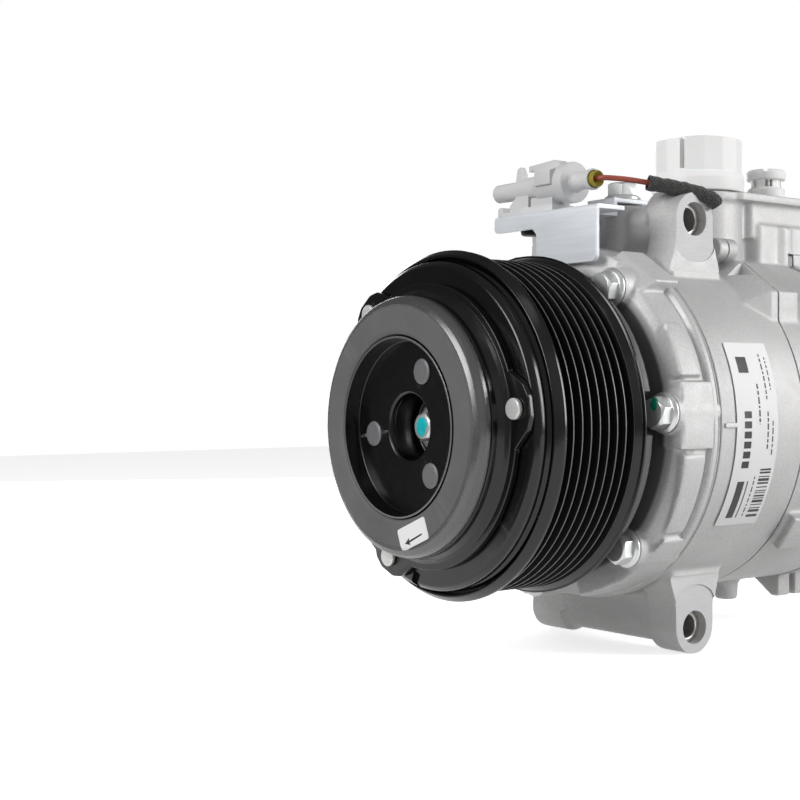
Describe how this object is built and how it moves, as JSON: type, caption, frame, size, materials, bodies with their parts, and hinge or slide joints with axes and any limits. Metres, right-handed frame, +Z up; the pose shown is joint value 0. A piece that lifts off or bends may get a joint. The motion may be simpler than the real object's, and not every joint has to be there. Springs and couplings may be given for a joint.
{
  "type": "automotive air-conditioning compressor",
  "caption": "Belt-driven automotive air-conditioning compressor: electromagnetic clutch, grooved pulley, cast aluminium casing, cross-drilled mounting bosses and capped top ports.",
  "frame": {"origin": "middle of the bottom of the bounding box, under the lower mounting boss", "axes": "+Y along the shaft from the clutch to the rear head, +Z up towards the ports, +X out of the drilled end of the mounting bosses nearest the clutch connector's wire"},
  "size_m": [0.1254, 0.2138, 0.1793],
  "materials": {
    "cast_aluminium": "fine cast grain, matte",
    "machined_aluminium": "machined, satin",
    "black_paint": "black baked enamel, glossy",
    "dark_rubber": "matte grey-black rubber",
    "seal_rubber": "matte",
    "bearing_steel": "ground steel",
    "rivet_steel": "bright peened steel",
    "dark_rivet": "dark grey, satin",
    "zinc_steel": "bluish zinc plate",
    "coil_case": "dark coated steel",
    "grey_plastic": "light grey moulded plastic",
    "yellow_seal": "olive yellow silicone rubber",
    "red_wire": "reddish-brown wire insulation",
    "woven_sleeve": "braided black fibre sleeve",
    "white_plastic": "natural white moulded plastic",
    "brass": "satin brass"
  },
  "bodies": {
    "casing": {"front_housing": "cast_aluminium", "main_housing": "cast_aluminium", "cylinder_block": "cast_aluminium", "valve_plate": "bearing_steel", "rear_housing": "cast_aluminium", "through_bolt_1": "zinc_steel", "through_bolt_2": "zinc_steel", "through_bolt_3": "zinc_steel", "through_bolt_4": "zinc_steel", "through_bolt_5": "zinc_steel", "through_bolt_6": "zinc_steel", "through_bolt_7": "zinc_steel", "upper_mount_bush": "machined_aluminium", "lower_mount_bush": "machined_aluminium", "field_coil": "coil_case", "pulley_bearing_inner": "bearing_steel", "shaft_seal": "seal_rubber", "front_shaft_bearing": "bearing_steel", "rear_shaft_bearing": "bearing_steel", "rotor_thrust_bearing": "bearing_steel", "guide_rod": "bearing_steel", "connector_bracket": "zinc_steel", "bracket_bolt": "zinc_steel", "connector_body": "grey_plastic", "connector_seal": "yellow_seal", "lead_wire": "red_wire", "lead_sleeve": "woven_sleeve", "large_port_cap": "white_plastic", "small_port_cap": "white_plastic", "control_valve": "bearing_steel", "relief_valve": "brass"},
    "pulley_set": {"pulley": "black_paint", "pulley_bearing_outer": "bearing_steel", "pulley_snap_ring": "bearing_steel"},
    "bearing_balls": {"pulley_bearing_balls": "bearing_steel"},
    "shaft_set": {"drive_shaft": "bearing_steel", "inner_hub": "black_paint", "clutch_cup": "black_paint", "cup_rivet_1": "dark_rivet", "cup_rivet_2": "dark_rivet", "cup_rivet_3": "dark_rivet", "hub_bolt": "zinc_steel", "damper_ring": "dark_rubber", "drive_rotor": "bearing_steel", "return_spring": "bearing_steel"},
    "armature_set": {"armature_plate": "bearing_steel", "hub_plate": "black_paint", "ear_rivet_1": "rivet_steel", "ear_rivet_2": "rivet_steel", "ear_rivet_3": "rivet_steel"},
    "wobble": {"wobble_plate": "machined_aluminium"},
    "journal_hub": {"journal": "bearing_steel"},
    "piston_1_body": {"piston_1": "machined_aluminium"},
    "piston_2_body": {"piston_2": "machined_aluminium"},
    "piston_3_body": {"piston_3": "machined_aluminium"},
    "piston_4_body": {"piston_4": "machined_aluminium"},
    "piston_5_body": {"piston_5": "machined_aluminium"},
    "piston_6_body": {"piston_6": "machined_aluminium"},
    "piston_7_body": {"piston_7": "machined_aluminium"}
  },
  "joints": [
    {"name": "pulley_spin", "type": "hinge", "parent": "casing", "child": "pulley_set", "pos_m": [-0.00325, -0.0711, 0.0767], "axis": [0, 1, 0], "continuous": true},
    {"name": "bearing_ball_orbit", "type": "hinge", "parent": "casing", "child": "bearing_balls", "pos_m": [-0.00325, -0.0711, 0.0767], "axis": [0, 1, 0], "continuous": true},
    {"name": "shaft_spin", "type": "hinge", "parent": "casing", "child": "shaft_set", "pos_m": [-0.00325, -0.0411, 0.0767], "axis": [0, 1, 0], "continuous": true},
    {"name": "clutch_engage", "type": "slide", "parent": "shaft_set", "child": "armature_set", "axis": [0, 1, 0], "range_m": [0, 0.0005], "stiffness_N_per_m": 40000},
    {"name": "plate_tilt", "type": "hinge", "parent": "casing", "child": "wobble", "pos_m": [-0.00325, 0.0029, 0.1152], "axis": [-1, 0, 0], "range_deg": [0, 16], "stiffness_Nm_per_rad": 1.5},
    {"name": "journal_spin", "type": "hinge", "parent": "wobble", "child": "journal_hub", "pos_m": [-0.00325, 0.0029, 0.0767], "axis": [0, 1, 0], "continuous": true},
    {"name": "piston_1_stroke", "type": "slide", "parent": "casing", "child": "piston_1_body", "axis": [0, -1, 0], "range_m": [0, 0.00549]},
    {"name": "piston_2_stroke", "type": "slide", "parent": "casing", "child": "piston_2_body", "axis": [0, -1, 0], "range_m": [0, 0.000134]},
    {"name": "piston_3_stroke", "type": "slide", "parent": "casing", "child": "piston_3_body", "axis": [0, -1, 0], "range_m": [0, 0.00301]},
    {"name": "piston_4_stroke", "type": "slide", "parent": "casing", "child": "piston_4_body", "axis": [0, -1, 0], "range_m": [0, 0.01195]},
    {"name": "piston_5_stroke", "type": "slide", "parent": "casing", "child": "piston_5_body", "axis": [0, -1, 0], "range_m": [0, 0.02022]},
    {"name": "piston_6_stroke", "type": "slide", "parent": "casing", "child": "piston_6_body", "axis": [0, -1, 0], "range_m": [0, 0.02159]},
    {"name": "piston_7_stroke", "type": "slide", "parent": "casing", "child": "piston_7_body", "axis": [0, -1, 0], "range_m": [0, 0.01504]}
  ],
  "couplings": [
    {"joint": "bearing_ball_orbit", "follows": "pulley_spin", "ratio": 0.44},
    {"joint": "journal_spin", "follows": "shaft_spin", "ratio": 1},
    {"joint": "piston_1_stroke", "follows": "plate_tilt", "m_per_rad": 0.019579},
    {"joint": "piston_2_stroke", "follows": "plate_tilt", "m_per_rad": 0.00041},
    {"joint": "piston_3_stroke", "follows": "plate_tilt", "m_per_rad": 0.010701},
    {"joint": "piston_4_stroke", "follows": "plate_tilt", "m_per_rad": 0.042704},
    {"joint": "piston_5_stroke", "follows": "plate_tilt", "m_per_rad": 0.072318},
    {"joint": "piston_6_stroke", "follows": "plate_tilt", "m_per_rad": 0.077245},
    {"joint": "piston_7_stroke", "follows": "plate_tilt", "m_per_rad": 0.053774}
  ]
}
